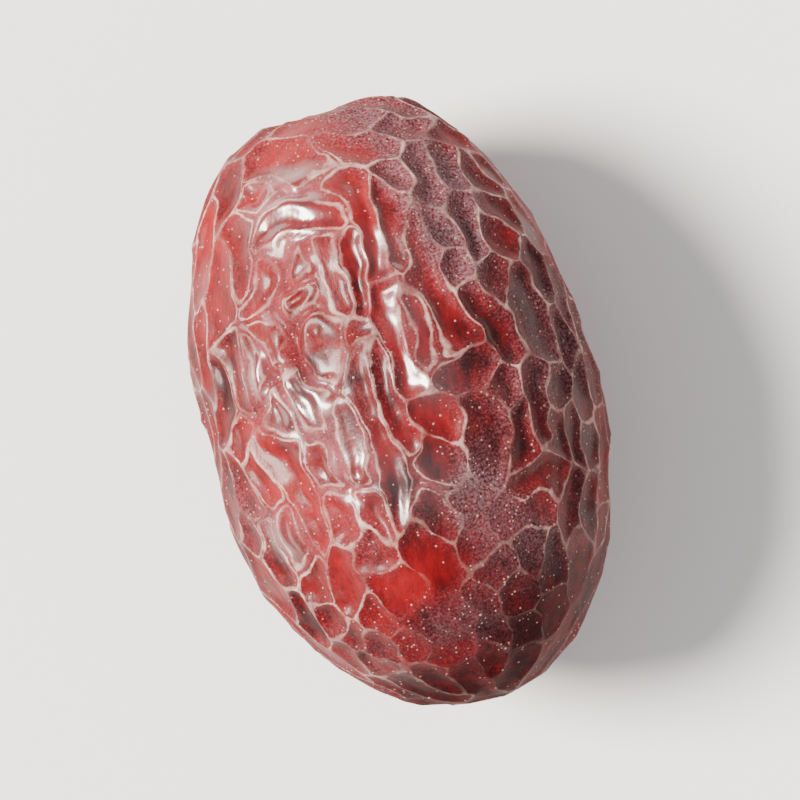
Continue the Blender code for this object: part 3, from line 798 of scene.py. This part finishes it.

# %% [markdown]
# ## Gloss
# The fruit's own wax shines on the full swells, where handling has polished it. Bloom, crests,
# skin with painted shade and cork are dry. Dryness raises the roughness and lowers the reflection,
# and the polish is a thin clear coat over it.

# %% Roughness, reflection and coat
shine = on_skin["shine"]
dry_line = add("Math", [line, 0.6], operation="MULTIPLY")
dry_in_painted_shade = add("Math", [on_skin["painted_shade"], 0.8], operation="MULTIPLY")
unpolished = add("Math", [shine, -0.85, 1.0], operation="MULTIPLY_ADD")
dry = add("Math", [film, dry_line], operation="MAXIMUM")
dry = add("Math", [dry, dry_in_painted_shade], operation="MAXIMUM")
dry = add("Math", [dry, unpolished], operation="MULTIPLY")
corky = add("Math", [on_skin["hollow"], cork], operation="MAXIMUM")
waxy_rough = add("MapRange", [shine, 0.0, 0.7, 0.42, 0.3])
skin_rough = add("Math", [dry, 0.3, waxy_rough], operation="MULTIPLY_ADD")
cork_rough = add("Math", [corky, 0.85], operation="MULTIPLY")
rough = add("Math", [skin_rough, cork_rough], operation="MAXIMUM")
dullness = add("Math", [dry, corky], operation="MAXIMUM")
clear = add("MapRange", [dullness, 0.0, 0.8, 1.0, 0.0])
coat = add("Math", [shine, 1.25, 0.08], operation="MULTIPLY_ADD", use_clamp=True)
coat = add("Math", [coat, clear], operation="MULTIPLY")
dry_specular = add("MapRange", [dry, 0.0, 0.7, 0.18, 0.06])
specular = add("Math", [shine, 0.5, dry_specular], operation="MULTIPLY_ADD")
print("roughness from 0.3 on polished wax to 0.85 on cork")

# %% [markdown]
# ## Fine texture
# The finest wrinkles and pores are too small for the mesh and are bumps in the finish, with heights
# in metres. The wrinkles run along the fruit like the pockets do, and are pulled flat on the swells.

# %% Creases and pores
CREASE_HEIGHT, PORE_HEIGHT = 0.12 * MM, 0.02 * MM
creases = add("TexNoise", {
    "Vector": longwise, "Scale": 1 / (0.8 * MM), "Detail": 4.0, "Roughness": 0.6})
creased = add("MapRange", [shine, 0.2, 0.8, 0.75, 0.15])
pores = add("TexNoise", {"Vector": place, "Scale": 1 / (0.3 * MM)})
bump = add("Bump", {"Height": creases, "Distance": CREASE_HEIGHT, "Strength": creased})
bump = add("Bump", {"Height": pores, "Distance": PORE_HEIGHT, "Strength": 0.7, "Normal": bump})
print("creases of", CREASE_HEIGHT, "m and pores of", PORE_HEIGHT, "m")

# %% [markdown]
# Plant wax has an index of refraction near 1.45. Both layers are set above that, to match the strong
# highlights. A little light goes through the thin skin and comes back red.

# %% The shader
SKIN_INDEX, COAT_INDEX, COAT_ROUGHNESS = 1.48, 1.6, 0.14
shader = add("BsdfPrincipled", {
    "Base Color": colour, "Roughness": rough, "IOR": SKIN_INDEX,
    "Specular IOR Level": specular, "Normal": bump,
    "Subsurface Weight": 0.12, "Subsurface Radius": (1.0, 0.25, 0.15), "Subsurface Scale": 0.8 * MM,
    "Coat Weight": coat, "Coat Roughness": COAT_ROUGHNESS, "Coat IOR": COAT_INDEX})
output = tree.nodes.new("ShaderNodeOutputMaterial")
tree.links.new(shader, output.inputs["Surface"])
mesh.materials.append(material)
print("skin finish:", len(tree.nodes), "nodes")

# %% [markdown]
# ## Floor, light and camera
# The fruit lies on a plain pale floor, so wide that its edge stays out of the picture.

# %% Floor
FLOOR_REACH = 2.0  # metres from the middle to each side
FLOOR_PAINT, FLOOR_ROUGHNESS = "#f5f3f0", 0.7
floor_mesh = bpy.data.meshes.new("floor")
corners = [(-1, -1), (1, -1), (1, 1), (-1, 1)]
floor_points = [(FLOOR_REACH * x, FLOOR_REACH * y, 0) for x, y in corners]
floor_mesh.from_pydata(floor_points, [], [(0, 1, 2, 3)])
floor = bpy.data.objects.new("floor", floor_mesh)
bpy.context.scene.collection.objects.link(floor)
paint = bpy.data.materials.new("floor_paint")
paint.use_nodes = True
paint_shader = paint.node_tree.nodes["Principled BSDF"]
paint_shader.inputs["Base Color"].default_value = linear(FLOOR_PAINT)
paint_shader.inputs["Roughness"].default_value = FLOOR_ROUGHNESS
floor_mesh.materials.append(paint)
print("floor", 2 * FLOOR_REACH, "m square")

# %% [markdown]
# The photograph is lit by the sun from the upper left. A sun lamp gives the same even light over
# the whole fruit. A real sun is half a degree wide and would give hard pin-sharp highlights. This
# one is as wide as a studio softbox, so the highlights are broad and the shadow is soft. A pale
# surround lights the side that is turned away.

# %% Lights
TOWARD_SUN = (-0.67, 0.22, 0.71)
SUN_STRENGTH, SUN_WIDTH, SUN_COLOUR = 12.6, math.radians(22), "#fff8ee"
SURROUND_STRENGTH, SURROUND_COLOUR = 0.74, "#f4f4f6"
lamp = bpy.data.lights.new("key", "SUN")
lamp.energy = SUN_STRENGTH
lamp.angle = SUN_WIDTH
lamp.color = linear(SUN_COLOUR)[:3]
key = bpy.data.objects.new("key", lamp)
key.rotation_euler = Vector(TOWARD_SUN).to_track_quat("Z", "Y").to_euler()
bpy.context.scene.collection.objects.link(key)
world = bpy.data.worlds.new("surround")
bpy.context.scene.world = world
world.use_nodes = True
background = world.node_tree.nodes["Background"]
background.inputs["Color"].default_value = linear(SURROUND_COLOUR)
background.inputs["Strength"].default_value = SURROUND_STRENGTH
print("sun", SUN_STRENGTH, "surround", SURROUND_STRENGTH)

# %% [markdown]
# The photograph sees this fruit square to its long axis. Laid flat, it is seen from almost straight
# above, and the camera is turned a little so that the stem end leans to the left. It stands well
# back with a long lens, because the folds on the flanks then lie where the photograph has them.
# From close by, the high middle of the fruit would spread and push them outwards.

# %% Camera
ELEVATION, AZIMUTH = math.radians(89), math.radians(-16)
CAMERA_AWAY, LENS_LENGTH, NEAREST = 0.5, 284, 0.01  # metres, millimetres and metres
MIDDLE = Vector((0.0, 0.0, 0.0155))
level = Vector((math.sin(AZIMUTH), -math.cos(AZIMUTH), 0.0))
back = level * math.cos(ELEVATION) + Vector((0.0, 0.0, math.sin(ELEVATION)))
lens = bpy.data.cameras.new("camera")
lens.lens = LENS_LENGTH
lens.clip_start = NEAREST
camera = bpy.data.objects.new("camera", lens)
camera.location = MIDDLE + back * CAMERA_AWAY
camera.rotation_euler = back.to_track_quat("Z", "Y").to_euler()
bpy.context.scene.collection.objects.link(camera)
bpy.context.scene.camera = camera
print("camera at", [round(part, 3) for part in camera.location])
